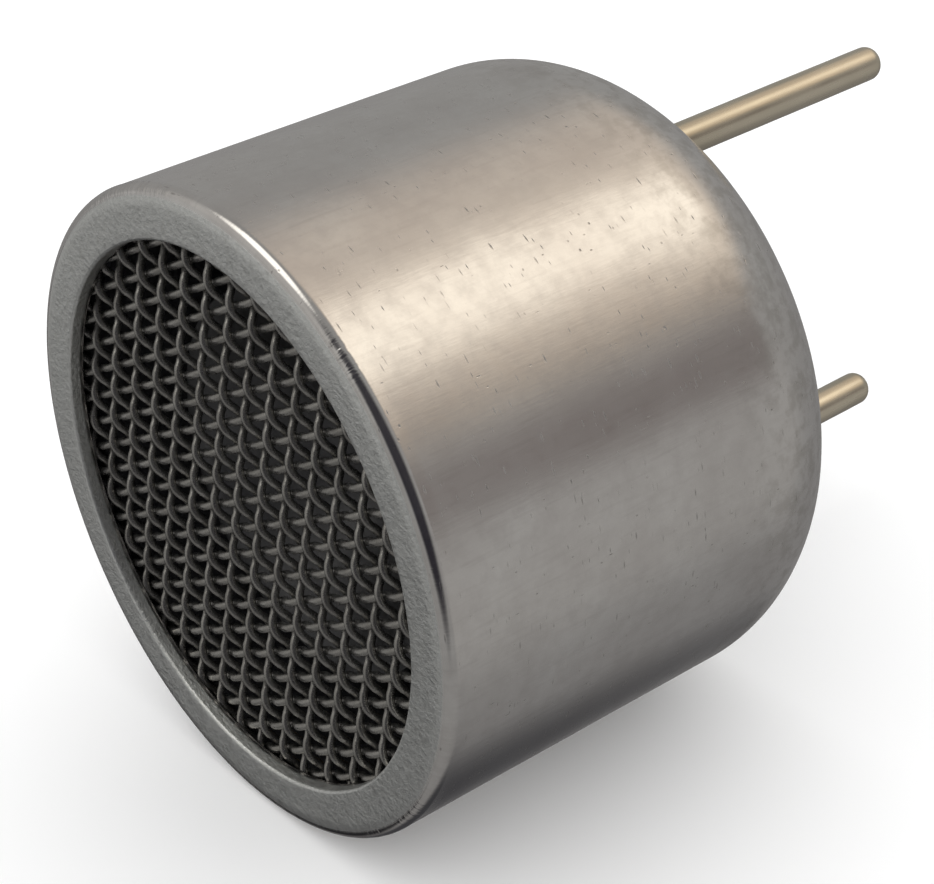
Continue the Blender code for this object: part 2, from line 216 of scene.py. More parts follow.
class Finish(Nodes):
    """A material that is laid out in millimetres on the object."""

    def __init__(self, name):
        self.material = bpy.data.materials.new(name)
        self.material.use_nodes = True
        super().__init__(self.material.node_tree)
        self.shader = self.tree.nodes["Principled BSDF"]
        place = self.node("ShaderNodeTexCoord")
        scale = self.node("ShaderNodeVectorMath", operation="SCALE")
        scale.inputs["Scale"].default_value = 1 / MM
        self.join(place.outputs["Object"], scale.inputs[0])
        self.place = scale.outputs[0]

    def math(self, operation, first, second=0.0, clamp=False):
        made = self.node("ShaderNodeMath", operation=operation, use_clamp=clamp)
        self.feed(made.inputs[0], first)
        self.feed(made.inputs[1], second)
        return made.outputs[0]

    def stretch(self, scale, place=None, turn=0.0):
        """The place, scaled along each axis and turned about the third one."""
        made = self.node("ShaderNodeMapping")
        self.join(place or self.place, made.inputs["Vector"])
        made.inputs["Rotation"].default_value = (0.0, 0.0, turn)
        made.inputs["Scale"].default_value = scale
        return made.outputs[0]

    def noise(self, scale, detail=2.0, place=None, roughness=0.5):
        made = self.node("ShaderNodeTexNoise")
        self.join(place or self.place, made.inputs["Vector"])
        made.inputs["Scale"].default_value = scale
        made.inputs["Detail"].default_value = detail
        made.inputs["Roughness"].default_value = roughness
        return made.outputs["Fac"]

    def cells(self, scale, place=None):
        """Distance to the nearest of a field of scattered points."""
        made = self.node("ShaderNodeTexVoronoi", feature="F1")
        self.join(place or self.place, made.inputs["Vector"])
        made.inputs["Scale"].default_value = scale
        return made.outputs["Distance"]

    def between(self, value, low, high, start=0.0, end=1.0):
        """Maps value from low..high to start..end, held at the ends."""
        made = self.node("ShaderNodeMapRange")
        self.join(value, made.inputs["Value"])
        names = ("From Min", "From Max", "To Min", "To Max")
        for name, number in zip(names, (low, high, start, end)):
            made.inputs[name].default_value = number
        return made.outputs["Result"]

    def bump(self, height, depth, under=None):
        """A bump depth millimetres deep, on top of an earlier one."""
        made = self.node("ShaderNodeBump")
        made.inputs["Strength"].default_value = 1.0
        made.inputs["Distance"].default_value = depth * MM
        self.join(height, made.inputs["Height"])
        if under is not None:
            self.join(under, made.inputs["Normal"])
        return made.outputs["Normal"]

    def surface(self, **values):
        """Sets or links the shader's sockets, named with _ for a space."""
        for key, value in values.items():
            self.feed(self.shader.inputs[key.replace("_", " ").title()], value)
        return self.material


def around_can(finish):
    """Place on the can's skin: millimetres round the barrel, along the axis, and out."""
    parts = finish.node("ShaderNodeSeparateXYZ")
    finish.join(finish.place, parts.inputs[0])
    x, y, z = parts.outputs
    turn = finish.math("ARCTAN2", z, x)
    squares = finish.math("ADD", finish.math("MULTIPLY", x, x), finish.math("MULTIPLY", z, z))
    out = finish.math("SQRT", squares)
    joined = finish.node("ShaderNodeCombineXYZ")
    finish.join(finish.math("MULTIPLY", turn, BARREL_RADIUS), joined.inputs[0])
    finish.join(y, joined.inputs[1])
    finish.join(out, joined.inputs[2])
    return joined.outputs[0], y, out


def ticks(f, skin):
    """Sparse short scratches, some along the draw and more across it, crowded in patches."""
    marks = None
    for scale, turn, reach in (
        ((0.8, 4.0, 1.0), 0.35, 0.10),
        ((0.7, 5.2, 1.0), -0.25, 0.10),
        ((1.3, 8.0, 1.0), 0.1, 0.10),
        ((1.8, 2.6, 1.0), 0.9, 0.08),
        ((2.6, 1.4, 1.0), -0.8, 0.06),
        ((3.6, 0.8, 1.0), 0.1, 0.06),
    ):
        line = f.between(f.cells(1.0, f.stretch(scale, skin, turn)), 0.0, reach, 1.0, 0.0)
        marks = line if marks is None else f.math("MAXIMUM", marks, line)
    crowd = f.between(f.noise(0.8, 3.0, skin), 0.36, 0.54, 0.2, 1.0)
    depth = f.between(f.noise(2.4, 2.0, skin), 0.32, 0.54, 0.25, 1.0)
    return f.math("MULTIPLY", marks, f.math("MULTIPLY", crowd, depth))


def barrel_tone(f, skin, along, cloud, drawn):
    """Mottled metal, dirtier towards the rolled rear edge."""
    mottle = f.noise(0.45, 4.0, skin, 0.6)
    tone = f.mix(f.between(mottle, 0.3, 0.7), CAN_DULL, CAN_BRIGHT)
    tone = f.mix(f.between(cloud, 0.42, 0.68, 0.0, 0.4), tone, CAN_CLOUD)
    tone = f.mix(f.between(drawn, 0.52, 0.75, 0.0, 0.3), tone, CAN_DRAWN)
    rear = f.between(along, SHOULDER_Y - 1.2, SHOULDER_Y + 0.8)
    stain = f.math("MULTIPLY", rear, f.between(cloud, 0.46, 0.62))
    return f.mix(f.math("MULTIPLY", stain, 0.4), tone, CAN_STAIN)


def face_tone(f, grain):
    """The matt front face: grained, with duller pits."""
    pits = f.between(f.noise(3.2, 4.0, None, 0.7), 0.56, 0.7)
    tone = f.mix(f.between(grain, 0.35, 0.65), FACE_DULL, FACE_BRIGHT)
    return f.mix(f.math("MULTIPLY", pits, 0.5), tone, FACE_PIT)


def front_masks(f, along, out):
    """Where the flat front face is, and where the corner round it is."""
    flat = f.between(out, FACE_EDGE, CORNER_EDGE, 1.0, 0.0)
    ahead = f.between(along, FRONT + FRONT_CORNER, FACE_END, 1.0, 0.0)
    face = f.math("MULTIPLY", ahead, flat)
    front = f.between(along, CORNER_FULL, CORNER_END, 1.0, 0.0)
    return face, f.math("SUBTRACT", front, face, True)


def rubbing(f, skin):
    """Where the front corner has been knocked and rubbed."""
    rubbed = f.noise(1.0, 2.0, f.stretch((6.0, 2.0, 2.0), skin, 0.5), 0.6)
    patches = f.between(f.noise(0.35, 2.0, skin), 0.5, 0.62)
    return f.math("MULTIPLY", f.between(rubbed, 0.42, 0.66), patches)


def can_finish():
    """Drawn aluminium: mottled, with short dark marks, a matt face and a burnished front corner."""
    f = Finish("can_aluminium")
    skin, along, out = around_can(f)
    cloud = f.noise(2.2, 4.0, skin, 0.6)
    drawn = f.noise(1.0, 3.0, f.stretch((7.0, 0.5, 1.0), skin), 0.6)
    fine = f.noise(1.0, 2.0, f.stretch((16.0, 2.4, 1.0), skin, 0.06), 0.55)
    grain = f.noise(7.0, 5.0, None, 0.7)
    scratches = ticks(f, skin)
    specks = f.between(f.cells(0.42, skin), 0.014, 0.024, 1.0, 0.0)
    face, corner = front_masks(f, along, out)
    rubbed = f.math("MULTIPLY", corner, rubbing(f, skin))

    tone = barrel_tone(f, skin, along, cloud, drawn)
    tone = f.mix(f.math("MULTIPLY", scratches, 0.75), tone, CAN_MARK)
    tone = f.mix(f.math("MULTIPLY", specks, 0.85), tone, CAN_SPECK)
    tone = f.mix(f.math("MULTIPLY", face, 0.85), tone, face_tone(f, grain))
    tone = f.mix(f.math("MULTIPLY", rubbed, 0.35), tone, CAN_CLOUD)

    rough = f.math("ADD", f.between(cloud, 0.3, 0.7, 0.21, 0.27), f.math("MULTIPLY", face, 0.10))
    rough = f.math("SUBTRACT", rough, f.math("MULTIPLY", corner, 0.11))
    rough = f.math("ADD", rough, f.math("MULTIPLY", scratches, 0.2))

    height = f.math("ADD", f.math("MULTIPLY", drawn, 0.6), f.math("MULTIPLY", fine, 0.4))
    normal = f.bump(height, 0.0025)
    normal = f.bump(f.math("ADD", scratches, specks), -0.006, normal)
    normal = f.bump(f.math("MULTIPLY", grain, face), 0.03, normal)
    normal = f.bump(rubbed, 0.008, normal)
    return f.surface(base_color=tone, metallic=1.0, roughness=rough, normal=normal)


def wire_finish():
    """Oxidised steel wire: dark, a little uneven, brighter where it is rubbed."""
    f = Finish("screen_wire")
    tarnish = f.noise(1.4, 4.0)
    fine = f.noise(14.0, 2.0)
    tone = f.mix(f.between(tarnish, 0.3, 0.7), (0.22, 0.212, 0.198), (0.32, 0.312, 0.295))
    tone = f.mix(f.between(fine, 0.55, 0.75, 0.0, 0.3), tone, (0.13, 0.122, 0.11))
    rough = f.between(fine, 0.3, 0.7, 0.24, 0.34)
    return f.surface(base_color=tone, metallic=0.95, roughness=rough, normal=f.bump(fine, 0.004))


def metal_finish(name, low, high, roughness, grain, depth, stretch=(1.0, 1.0, 1.0)):
    """A metal whose tone and gloss wander a little."""
    f = Finish(name)
    place = f.stretch(stretch)
    cloud = f.noise(grain * 0.25, 3.0, place)
    fine = f.noise(grain, 3.0, place)
    tone = f.mix(f.between(cloud, 0.3, 0.7), low, high)
    rough = f.between(fine, 0.3, 0.7, roughness - 0.05, roughness + 0.07)
    return f.surface(base_color=tone, metallic=1.0, roughness=rough, normal=f.bump(fine, depth))


def moulded_finish(name, low, high, roughness, grain, depth, **more):
    """A moulded, cast or squeezed-out material with a fine skin."""
    f = Finish(name)
    cloud = f.noise(grain * 0.12, 3.0)
    fine = f.noise(grain, 3.0)
    tone = f.mix(f.between(cloud, 0.3, 0.7), low, high)
    rough = f.between(fine, 0.3, 0.7, roughness - 0.06, roughness + 0.08)
    return f.surface(base_color=tone, roughness=rough, normal=f.bump(fine, depth), **more)


def pin_plating():
    return metal_finish(
        "pin_plating", (0.64, 0.575, 0.45), (0.76, 0.69, 0.56), 0.24, 4.0, 0.004, (1.0, 0.2, 1.0)
    )


def cone_aluminium():
    # Aluminium, but given a near-black tone: painted shade for the dark inside of the can, seen
    # through the cloth.
    return metal_finish("cone_aluminium", (0.15, 0.15, 0.155), (0.21, 0.21, 0.215), 0.42, 5.0, 0.004)


def lead_copper():
    return metal_finish("lead_copper", (0.60, 0.30, 0.16), (0.72, 0.42, 0.24), 0.25, 8.0, 0.003)


def solder_metal():
    return metal_finish("solder", (0.55, 0.55, 0.56), (0.68, 0.68, 0.69), 0.2, 5.0, 0.01)


def plate_nickel():
    return metal_finish(
        "plate_nickel", (0.60, 0.56, 0.49), (0.70, 0.67, 0.60), 0.25, 6.0, 0.003, (1.0, 1.0, 0.15)
    )


def silver_film():
    return metal_finish("silver_film", (0.72, 0.71, 0.68), (0.84, 0.83, 0.80), 0.38, 12.0, 0.008)


def strip_bronze():
    return metal_finish(
        "strip_bronze", (0.60, 0.38, 0.18), (0.72, 0.50, 0.27), 0.3, 6.0, 0.004, (0.3, 1.0, 1.0)
    )


def black_plastic():
    return moulded_finish(
        "black_plastic", (0.022, 0.022, 0.024), (0.032, 0.032, 0.034), 0.42, 12.0, 0.008
    )


def sealing_resin():
    return moulded_finish(
        "sealing_resin", (0.018, 0.018, 0.019), (0.03, 0.03, 0.031), 0.14, 5.0, 0.004, coat_weight=0.5
    )


def piezo_ceramic():
    return moulded_finish("piezo_ceramic", (0.40, 0.34, 0.23), (0.50, 0.44, 0.31), 0.7, 16.0, 0.01)


def epoxy_amber():
    return moulded_finish(
        "epoxy_amber", (0.30, 0.19, 0.06), (0.42, 0.29, 0.11), 0.2, 6.0, 0.01, coat_weight=0.4
    )


def silicone():
    return moulded_finish(
        "silicone", (0.66, 0.65, 0.60), (0.74, 0.73, 0.69), 0.45, 7.0, 0.006,
        subsurface_weight=0.25, subsurface_scale=0.3 * MM,
    )


# ---------------------------------------------------------------- shapes


def link(name, shape, finish, sharp=40):
    """Writes a bmesh as a smooth-shaded object with one finish."""
    bmesh.ops.recalc_face_normals(shape, faces=shape.faces)
    mesh = bpy.data.meshes.new(name)
    shape.to_mesh(mesh)
    shape.free()
    mesh.materials.append(finish)
    mesh.shade_smooth()
    mesh.set_sharp_from_angle(angle=math.radians(sharp))
    made = bpy.data.objects.new(name, mesh)
    bpy.context.scene.collection.objects.link(made)
    return made


def stand_for(piece, body, slot, *nodes):
    """Lets a piece ride a body in place of CAD nodes. The slot argument is not used."""
    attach(piece, body)
    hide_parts(*nodes)


def arc(centre_r, centre_y, radius, start, end, steps):
    """Points (r, y) on a round stretch of a turned profile."""
    angles = [start + (end - start) * step / steps for step in range(steps + 1)]
    return [(centre_r + radius * math.cos(a), centre_y + radius * math.sin(a)) for a in angles]


def softened(profile, radius, steps=3):
    """The open profile with each corner between its ends rounded."""
    made = [profile[0]]
    for last, point, following in zip(profile, profile[1:], profile[2:]):
        here = Vector(point)
        before = Vector(last) - here
        after = Vector(following) - here
        reach = min(radius, before.length * 0.45, after.length * 0.45)
        start = here + before.normalized() * reach
        end = here + after.normalized() * reach
        for step in range(steps + 1):
            t = step / steps
            made.append(tuple((1 - t) ** 2 * start + 2 * t * (1 - t) * here + t * t * end))
    made.append(profile[-1])
    return made


def turned(name, profile, finish, segments, centre=(0.0, 0.0), shift=None, sharp=40):
    """A solid turned about a line parallel to Y through centre (x, z).

    Profile points are (r, y). shift(r, y, turn) may move a point and returns its new (r, y).
    """
    open_ended = profile[0][0] == 0.0
    shape = bmesh.new()
    rows = []
    for r, y in profile:
        if r == 0.0:
            pole = shape.verts.new((centre[0] * MM, y * MM, centre[1] * MM))
            rows.append([pole] * segments)
            continue
        row = []
        for step in range(segments):
            turn = TURN * step / segments
            there = shift(r, y, turn) if shift else (r, y)
            x = centre[0] + there[0] * math.cos(turn)
            z = centre[1] + there[0] * math.sin(turn)
            row.append(shape.verts.new((x * MM, there[1] * MM, z * MM)))
        rows.append(row)
    pairs = list(zip(rows, rows[1:]))
    if not open_ended:
        pairs.append((rows[-1], rows[0]))
    for near, far in pairs:
        for step in range(segments):
            after = (step + 1) % segments
            face = list(dict.fromkeys((near[step], far[step], far[after], near[after])))
            if len(face) > 2:
                shape.faces.new(face)
    return link(name, shape, finish, sharp)


def tube_into(shape, route, radius, sides=8):
    """Adds a capped tube along a route of points to a bmesh."""
    rings = []
    side_way = None
    for index, here in enumerate(route):
        ahead = route[min(index + 1, len(route) - 1)] - route[max(index - 1, 0)]
        ahead.normalize()
        if side_way is None:
            side_way = ahead.orthogonal().normalized()
        side_way = (side_way - ahead * side_way.dot(ahead)).normalized()
        other = ahead.cross(side_way)
        ring = []
        for step in range(sides):
            turn = TURN * step / sides
            spot = here + radius * (math.cos(turn) * side_way + math.sin(turn) * other)
            ring.append(shape.verts.new(spot * MM))
        rings.append(ring)
    for near, far in zip(rings, rings[1:]):
        for step in range(sides):
            after = (step + 1) % sides
            shape.faces.new((near[step], near[after], far[after], far[step]))
    shape.faces.new(rings[0][::-1])
    shape.faces.new(rings[-1])


def wander(place, scale, seed):
    """Smooth noise between about -1 and 1."""
    return noise.noise(place * scale + Vector((seed * 7.3, seed * 3.1, seed * 5.7)))


# ---------------------------------------------------------------- pieces


def can():
    """The case: lip, burnished front corner, barrel and rolled shoulder, never quite true."""

    def dented(r, y, turn):
        spot = Vector((r * math.cos(turn), y, r * math.sin(turn)))
        soft = 0.006 * wander(spot, 0.28, 1) + 0.002 * wander(spot, 0.9, 2)
        outer = y < FRONT + FRONT_CORNER * 1.1 and r > BARREL_RADIUS - FRONT_CORNER * 1.2
        chatter = 0.004 * abs(wander(spot, 2.4, 3)) if outer else 0.0
        rim = r < OPENING_RADIUS + 0.2 and y < FRONT + WALL
        burr = 0.008 * wander(spot, 1.3, 5) if rim else 0.0
        return r + soft + burr - chatter * 0.5, y + chatter * 0.6 + 0.3 * soft

    edge = 0.08
    lip = OPENING_RADIUS + edge
    roll = 0.05
    corner = FRONT_CORNER - roll
    centre = (BARREL_RADIUS - corner, FRONT + FRONT_CORNER)
    flat = BARREL_RADIUS - 0.5
    outline = arc(lip, FRONT + edge, edge, -math.pi, -math.pi / 2, 5)
    outline += [(lip + (flat - lip) * step / 4, FRONT) for step in range(1, 5)]
    # The face rolls off before the corner, and the corner ends in a faint ridge on the barrel.
    outline += [(flat + 0.10, FRONT + 0.1 * roll), (flat + 0.18, FRONT + 0.45 * roll)]
    outline += arc(*centre, corner, -math.pi / 2, -math.radians(18), 9)
    outline.append((BARREL_RADIUS + 0.006, centre[1] - 0.004))
    start = centre[1] + 0.04
    outline += [(BARREL_RADIUS, start + (SHOULDER_Y - start) * step / 30) for step in range(30)]
    outline += arc(SHOULDER_R, SHOULDER_Y, SHOULDER_RADIUS, 0.0, SHOULDER_SWEEP - 0.012, 22)
    outline += arc(SHOULDER_R, SHOULDER_Y, SHOULDER_RADIUS - WALL, SHOULDER_SWEEP, 0.0, 16)
    outline += [(BARREL_RADIUS - WALL, FRONT + WALL), (OPENING_RADIUS, FRONT + WALL)]
    made = turned("can", outline, can_finish(), 288, shift=dented, sharp=50)
    stand_for(made, "housing", "can_aluminium", "case")


def woven_screen():
    """Plain-woven wire cloth: two crossing sets of wires, each over one and under the next."""
    shape = bmesh.new()
    middle = (SCREEN_LOW.y + SCREEN_HIGH.y) / 2
    rim = SCREEN_HIGH.x - CLOTH_MARGIN
    steep = Vector((math.sin(CLOTH_TURN), 0.0, -math.cos(CLOTH_TURN)))
    shallow = Vector((math.cos(CLOTH_TURN), 0.0, math.sin(CLOTH_TURN)))
    steps = 8
    sets = (
        (steep, shallow, STEEP_SPACING, SHALLOW_SPACING, STEEP_SHIFT, SHALLOW_SHIFT, STEEP_WAVE),
        (shallow, steep, SHALLOW_SPACING, STEEP_SPACING, SHALLOW_SHIFT, STEEP_SHIFT, -SHALLOW_WAVE),
    )
    for along, across, spacing, crossing, shift, other, crimp in sets:
        count = int(rim / spacing) + 1
        for index in range(-count, count + 1):
            offset = (index + shift) * spacing
            if abs(offset) > rim - WIRE_RADIUS:
                continue
            reach = math.sqrt(rim**2 - offset**2)
            places = int(2 * reach / crossing * steps)
            route = []
            for step in range(places + 1):
                t = -reach + 2 * reach * step / places
                wave = math.cos(math.pi * (t / crossing - other)) * (-1) ** index
                wave = math.copysign(abs(wave) ** WAVE_POWER, wave)
                spot = across * offset + along * t
                seed = 6 if crimp > 0 else 5
                stray = WIRE_STRAY * wander(spot + Vector((0, index, 0)), 0.35, seed)
                spot = spot + across * stray
                spot.y = middle - wave * crimp
                route.append(spot)
            tube_into(shape, route, WIRE_RADIUS)
    made = link("woven_screen", shape, wire_finish(), 60)
    stand_for(made, "housing", "screen_wire", "front_screen")


def pin_middle(side, y):
    """A pin's middle (x, z) at y: straight in the base, leaning a little behind it."""
    return -PIN_LEAN * max(0.0, y), side * PIN_OFFSET


def pins(finish):
    """Round pins with an upset head, faint drawing marks and a rounded tip."""
    for name, side in PIN_SIDES:
        low, high = node_box(name)
        head = low.y
        start = head + PIN_HEAD_THICKNESS
        end = high.y - PIN_TIP_LENGTH
        edge = PIN_HEAD_EDGE
        outline = [(0.0, head)]
        outline += arc(PIN_HEAD_RADIUS - edge, head + edge, edge, -math.pi / 2, 0.0, 4)
        outline += [(PIN_HEAD_RADIUS, start), (PIN_RADIUS, start)]
        outline += [(PIN_RADIUS, start + (end - start) * step / 40) for step in range(1, 40)]
        for step in range(11):
            turn = math.pi / 2 * step / 10
            r = PIN_RADIUS * (0.12 + 0.88 * math.cos(turn))
            outline.append((r, end + PIN_TIP_LENGTH * math.sin(turn) ** 0.9))
        outline.append((0.0, high.y))

        def drawn(r, y, turn, side=side):
            spot = Vector((math.cos(turn) * 0.4, y, math.sin(turn) * 0.4 + side * 9))
            worn = 0.012 * wander(spot, 2.0, 10) if y > end else 0.0
            return r * (1 + 0.006 * wander(spot, 1.1, 9)), y + worn

        made = turned(name + "_round", outline, finish, 48, shift=drawn, sharp=50)
        for vertex in made.data.vertices:
            x, z = pin_middle(side, vertex.co.y / MM)
            vertex.co.x += x * MM
            vertex.co.z += z * MM
        stand_for(made, "housing", "pin_plating", name)


def carve(body, cutter, tolerant):
    """Takes a cutter's shape out of a body for good, and the cutter with it."""
    step = body.modifiers.new("cut", "BOOLEAN")
    step.operation = "DIFFERENCE"
    step.solver = "EXACT"
    step.use_hole_tolerant = tolerant
    step.object = cutter
    graph = bpy.context.evaluated_depsgraph_get()
    mesh = bpy.data.meshes.new_from_object(body.evaluated_get(graph))
    body.modifiers.clear()
    body.data = mesh
    bpy.data.objects.remove(cutter, do_unlink=True)


def cut_from(body, name, profile, centre, segments=48):
    """Takes a turned shape out of a body."""
    carve(body, turned(name, profile, body.data.materials[0], segments, centre), True)


def base_outline():
    """Half the base's section: ridge, shoulder under the can, and boss with a groove in its rear."""
    radius = SHOULDER_RADIUS - WALL - FIT
    ledge = SHOULDER_Y + radius * math.sin(BASE_SWEEP)
    ridge = BASE_LOW.y
    wall = BARREL_RADIUS - WALL - FIT
    outline = [(0.0, BASE_FRONT)]
    outline += softened([
        (0.4, BASE_FRONT), (RIDGE_INNER, BASE_FRONT), (RIDGE_INNER, ridge), (RIDGE_OUTER, ridge),
        (RIDGE_OUTER, BASE_FRONT), (wall, BASE_FRONT), (wall, SHOULDER_Y),
    ], 0.06)
    outline += arc(SHOULDER_R, SHOULDER_Y, radius, 0.0, BASE_SWEEP, 14)[1:]
    outline.append((BOSS_RADIUS, ledge))
    outline += arc(BOSS_RADIUS - BOSS_CORNER, -BOSS_CORNER, BOSS_CORNER, 0.0, math.pi / 2, 5)
    for r, way in ((GROOVE_OUTER, -1), (GROOVE_INNER, 1)):
        bank = [(r, 0.0), (r + way * 0.07, -0.03), (r + way * 0.15, -GROOVE_DEPTH)]
        outline += bank[::-way]
    outline.append((0.0, 0.0))
    return outline


def rear_marks(body):
    """Cuts the stepped pin holes and the marks that moulding leaves in the boss."""
    bore = PIN_RADIUS + FIT
    mouth = POCKET_RADIUS + 0.1
    for side in (1, -1):
        hole = [(0.0, BASE_FRONT - 1), (bore, BASE_FRONT - 1), (bore, -POCKET_DEPTH)]
        hole += [(POCKET_RADIUS, -POCKET_DEPTH), (POCKET_RADIUS, -0.06), (mouth, 0.05)]
        hole += [(mouth, 1.0), (0.0, 1.0)]
        cut_from(body, "pin_hole", hole, (0.0, side * PIN_OFFSET))
        mark = [(0.0, -0.06), (0.52, -0.06), (0.56, -0.02), (0.56, 1.0), (0.0, 1.0)]
        cut_from(body, "ejector_mark", mark, (side * EJECTOR_OFFSET, 0.0), 32)
    gate = [(0.0, -0.15), (0.3, -0.13), (0.42, 0.0), (0.42, 1.0), (0.0, 1.0)]
    cut_from(body, "gate_mark", gate, (0.0, 0.0), 32)
    dot = [(0.0, -0.15), (0.18, -0.13), (0.25, -0.07), (0.31, 0.4), (0.0, 0.4)]
    cut_from(body, "key_dot", dot, (KEY_DOT_X, KEY_DOT_Z), 20)


def lead_slot(body, finish):
    """Cuts the slot in the ridge that lets the signal lead through."""
    slot = bmesh.new()
    height = 1.6
    size = Matrix.Diagonal((SLOT_WIDTH * MM, height * MM, SLOT_LENGTH * MM, 1.0))
    middle = Vector((0.0, BASE_LOW.y + SLOT_DEPTH - height / 2, (RIDGE_INNER + RIDGE_OUTER) / 2))
    bmesh.ops.create_cube(slot, size=1.0, matrix=Matrix.Translation(middle * MM) @ size)
    carve(body, link("slot_cutter", slot, finish), False)


def moulded_base(finish):
    """The base that holds the ring and the pins and closes the can."""

    def shrunk(r, y, turn):
        sink = 0.012 * wander(Vector((r * math.cos(turn), 3.0, r * math.sin(turn))), 0.25, 11)
        return r, y - abs(sink) if y > -0.2 else y

    body = turned("moulded_base", base_outline(), finish, 128, shift=shrunk, sharp=40)
    rear_marks(body)
    lead_slot(body, finish)
    body.data.shade_smooth()
    body.data.set_sharp_from_angle(angle=math.radians(30))
    stand_for(body, "housing", "black_plastic", "base")


def resin(finish):
    """Resin that has crept up each pin and the pocket's wall, and a bead at the rolled edge."""
    for pin, side in PIN_SIDES:
        inner, outer = PIN_RADIUS + 0.002, POCKET_RADIUS - 0.01
        floor = -POCKET_DEPTH + FIT
        steps = 12
        outline = [(inner, floor), (outer, floor)]
        for step in range(steps + 1):
            t = step / steps
            r = outer + (inner - outer) * t
            climb = 0.05 * (1 - t) ** 6 + 0.13 * t**5
            outline.append((r, PIN_RESIN_Y + climb))

        def crept(r, y, turn, side=side):
            spot = Vector((math.cos(turn), side * 4.0, math.sin(turn)))
            swell = 0.03 * wander(spot, 0.9, 12) * (r - PIN_RADIUS + 0.15)
            return r, y + (swell if y > -0.25 else 0.0)

        name = pin + "_seal"
        made = turned(name + "_bead", outline, finish, 64, (0.0, side * PIN_OFFSET), crept, 60)
        stand_for(made, "housing", "sealing_resin", name)
    inner, outer = BOSS_RADIUS + 0.004, EDGE_SEAL_HIGH.x
    floor = EDGE_SEAL_LOW.y
    outline = [(inner, floor), (outer, floor)]
    for step in range(9):
        t = step / 8
        r = outer + (inner - outer) * t
        outline.append((r, EDGE_RESIN_Y + 0.06 * math.sin(math.pi * t) + 0.05 * t**4))

    def poured(r, y, turn):
        spot = Vector((math.cos(turn), 0.0, math.sin(turn))) * 2.4
        return r, y + (0.03 * wander(spot, 1.0, 13) if y > floor + 0.1 else 0.0)

    made = turned("edge_bead", outline, finish, 192, shift=poured, sharp=60)
    stand_for(made, "housing", "sealing_resin", "edge_seal")


def spun_cone():
    """The resonator: thin sheet spun to a cone, with a flat rim, faint rings and a round bottom."""
    slope = math.atan2(CONE_MOUTH - CONE_NECK, CONE_HIGH.y - CONE_LOW.y)
    across = CONE_WALL / math.cos(slope)
    floor = CONE_HIGH.y - CONE_WALL
    neck = CONE_NECK + CONE_WALL * math.tan(slope) - across
    mouth = CONE_MOUTH - across + CONE_WALL
    rim = CONE_HIGH.x
    edge = 0.05
    front, back = CONE_LOW.y, CONE_LOW.y + CONE_WALL
    outline = [(0.0, floor), (0.4, floor)]
    outline += [(neck + (mouth - neck) * t / 24, floor + (front - floor) * t / 24) for t in range(25)]
    outline += [(rim - edge, front), (rim, front + edge), (rim, back - edge), (rim - edge, back)]
    outline += [(CONE_MOUTH, back), (CONE_NECK, CONE_HIGH.y), (0.3, CONE_HIGH.y), (0.0, CONE_HIGH.y)]

    def ringed(r, y, turn):
        if not 0.9 < r < CONE_MOUTH - 0.1:
            return r, y
        return r, y + 0.012 * math.sin(r * 17.0) + 0.01 * wander(Vector((r, 0, turn)), 0.6, 14)

    # The cone's near-black tone is painted shade, not the aluminium's own colour.
    made = turned("spun_cone", outline, cone_aluminium(), 128, shift=ringed, sharp=35)
    stand_for(made, "vibrator", "cone_aluminium", "resonator_cone")


def glue_bead():
    """The adhesive under the cone, squeezed out unevenly round its neck."""
    steps = 10
    outer = BEAD_HIGH.x
    edge = BEAD_HIGH.y - BEAD_EDGE
    outline = [(0.0, edge)]
    for step in range(steps + 1):
        t = step / steps
        r = CONE_NECK + 0.05 + (outer - CONE_NECK - 0.05) * t
        swell = 0.11 * math.sin(math.pi * min(1.0, 1.1 * t)) * (1 - 0.5 * t)
        outline.append((r, edge - swell))
    outline += [(outer, BEAD_HIGH.y), (0.0, BEAD_HIGH.y)]

    def oozed(r, y, turn):
        grow = 0.06 * wander(Vector((math.cos(turn), 0.0, math.sin(turn))), 1.4, 15)
        return r * (1 - abs(grow)) if r > CONE_NECK + 0.1 else r, y

    made = turned("glue_bead", outline, epoxy_amber(), 96, shift=oozed, sharp=60)
    stand_for(made, "vibrator", "epoxy_amber", "cone_adhesive")


def soft_ring():
    """The silicone ring between the plate and the ridge, which gives as the plate moves."""
    inner, outer = RING_INNER, RING_HIGH.x
    front, back = RING_LOW.y, RING_HIGH.y
    wall = [front + (back - front) * step / 12 for step in range(13)]
    outline = [(outer, y) for y in wall] + [(inner, y) for y in reversed(wall)]

    def bellied(r, y, turn):
        t = (y - front) / (back - front)
        spot = Vector((math.cos(turn), y, math.sin(turn)))
        belly = 0.035 * math.sin(math.pi * t) + 0.008 * wander(spot, 2.0, 16)
        return r + (belly if r > (inner + outer) / 2 else -belly), y

    made = turned("soft_ring", outline, silicone(), 96, shift=bellied, sharp=50)
    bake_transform(made)
    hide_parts("nodal_ring")


def bezier(points, steps):
    made = []
    for step in range(steps):
        t = step / (steps - 1)
        weights = ((1 - t) ** 3, 3 * t * (1 - t) ** 2, 3 * t**2 * (1 - t), t**3)
        made.append(sum((w * Vector(p) for w, p in zip(weights, points)), Vector()))
    return made


